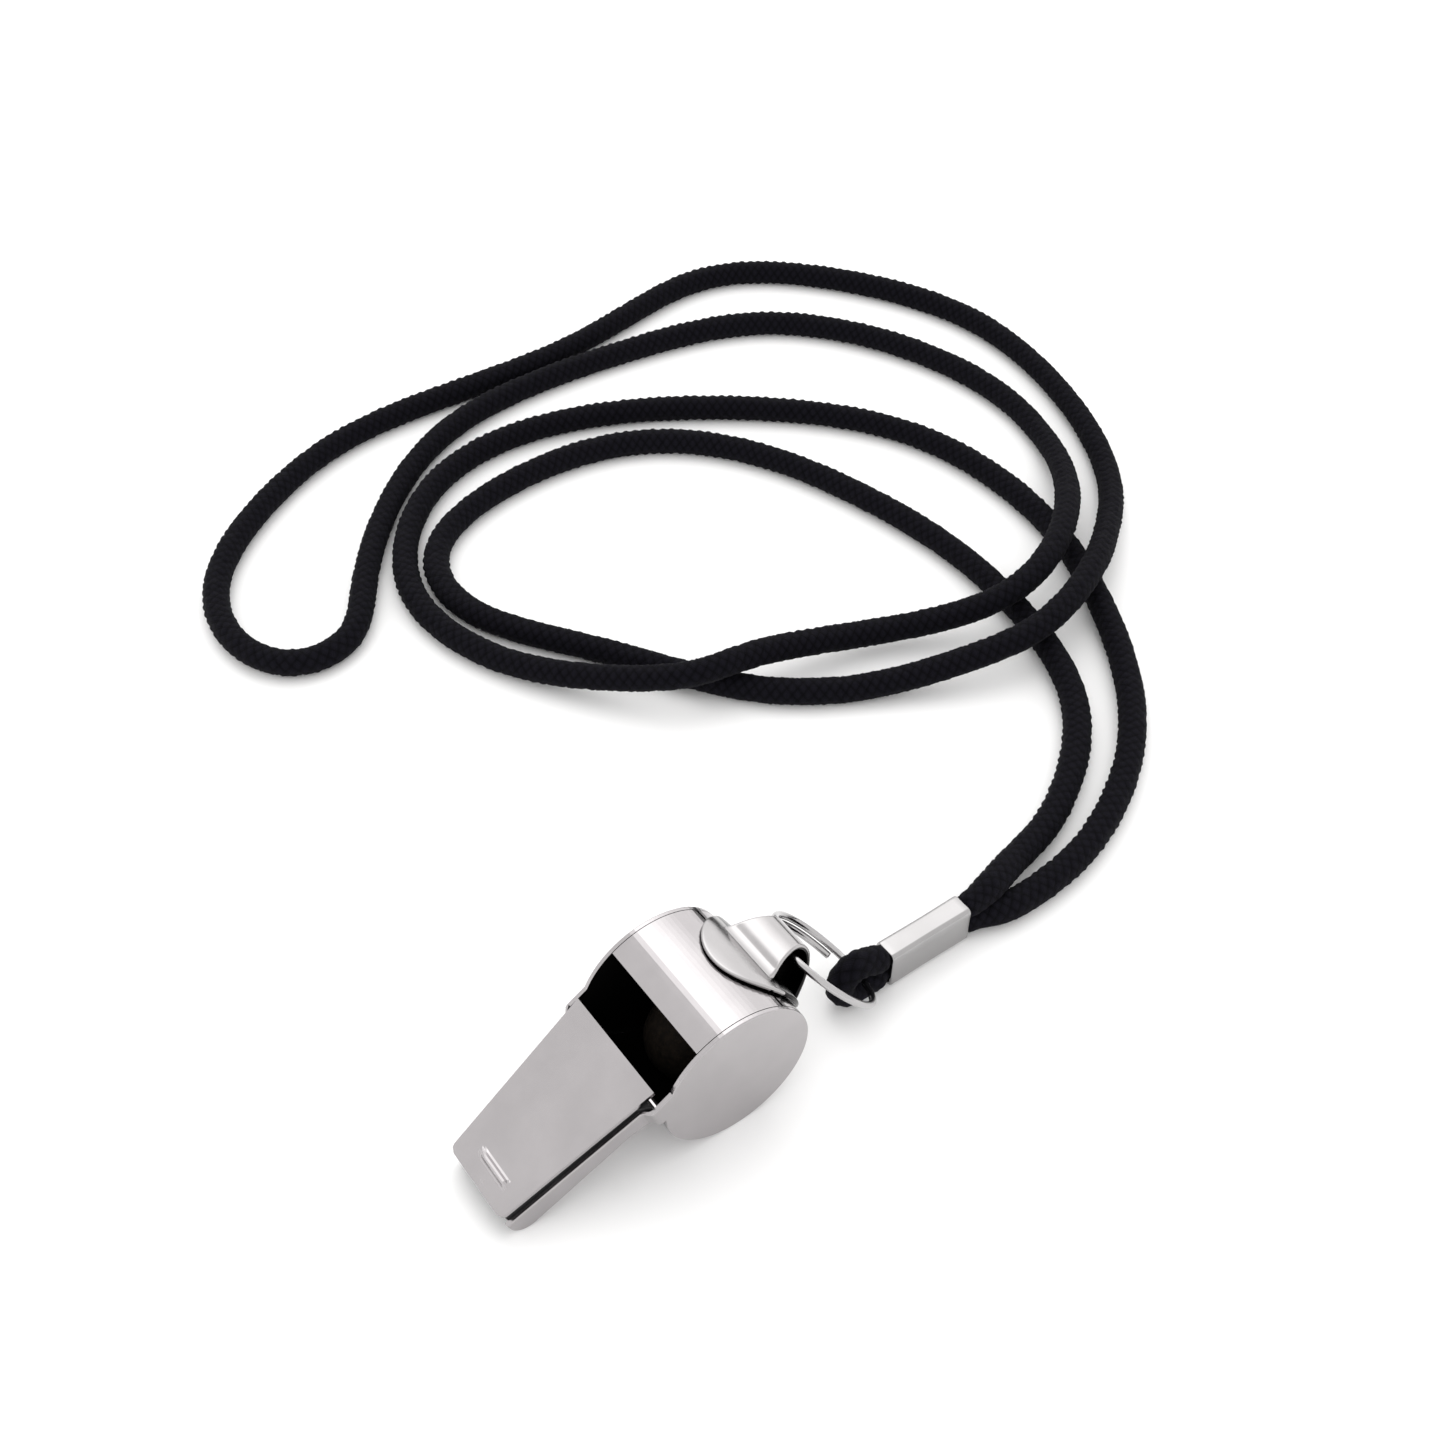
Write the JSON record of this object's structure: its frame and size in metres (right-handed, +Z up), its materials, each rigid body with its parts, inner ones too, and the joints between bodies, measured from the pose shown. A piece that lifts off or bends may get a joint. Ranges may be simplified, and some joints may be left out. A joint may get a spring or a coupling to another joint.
{
  "type": "training whistle",
  "caption": "Metal pea whistle with a flat mouthpiece, a split wire ring in its lug, and a black braided neck lanyard closed by a crimped ferrule.",
  "frame": {"origin": "bottom centre of the box around the whistle and its ring, on the surface they rest on; the cord, its bight and its ferrule are left out of that box", "axes": "+X along the whistle towards the mouthpiece's tip, +Z up, +Y across the whistle"},
  "size_m": [0.1793, 0.1636, 0.0225],
  "materials": {
    "steel": "polished",
    "wire": "polished",
    "ferrule": "polished",
    "liner": "satin",
    "pea": "matte",
    "braid": "matte"
  },
  "bodies": {
    "lanyard": {"neck_cord": "braid", "cord_bight": "braid", "crimp_ferrule": "ferrule"},
    "ring": {"split_ring": "wire"},
    "whistle": {"side_plate_left": "steel", "side_plate_right": "steel", "barrel_band_upper": "steel", "barrel_band_lower": "steel", "mouthpiece_top_plate": "steel", "mouthpiece_floor_plate": "steel", "windway_liner": "liner", "ring_lug": "steel"},
    "pea": {"pea": "pea"}
  },
  "joints": [
    {"name": "ring_swing", "type": "hinge", "parent": "lanyard", "child": "ring", "pos_m": [-0.02857, 0.0015, 0.0045], "axis": [0, -1, 0], "range_deg": [0, 70]},
    {"name": "whistle_swing", "type": "hinge", "parent": "ring", "child": "whistle", "pos_m": [-0.01767, 0.0015, 0.0164], "axis": [0, -1, 0], "range_deg": [0, 125]},
    {"name": "pea_roll", "type": "hinge", "parent": "whistle", "child": "pea", "pos_m": [-0.00378, -0.0006, 0.011], "axis": [0, 1, 0], "continuous": true}
  ]
}
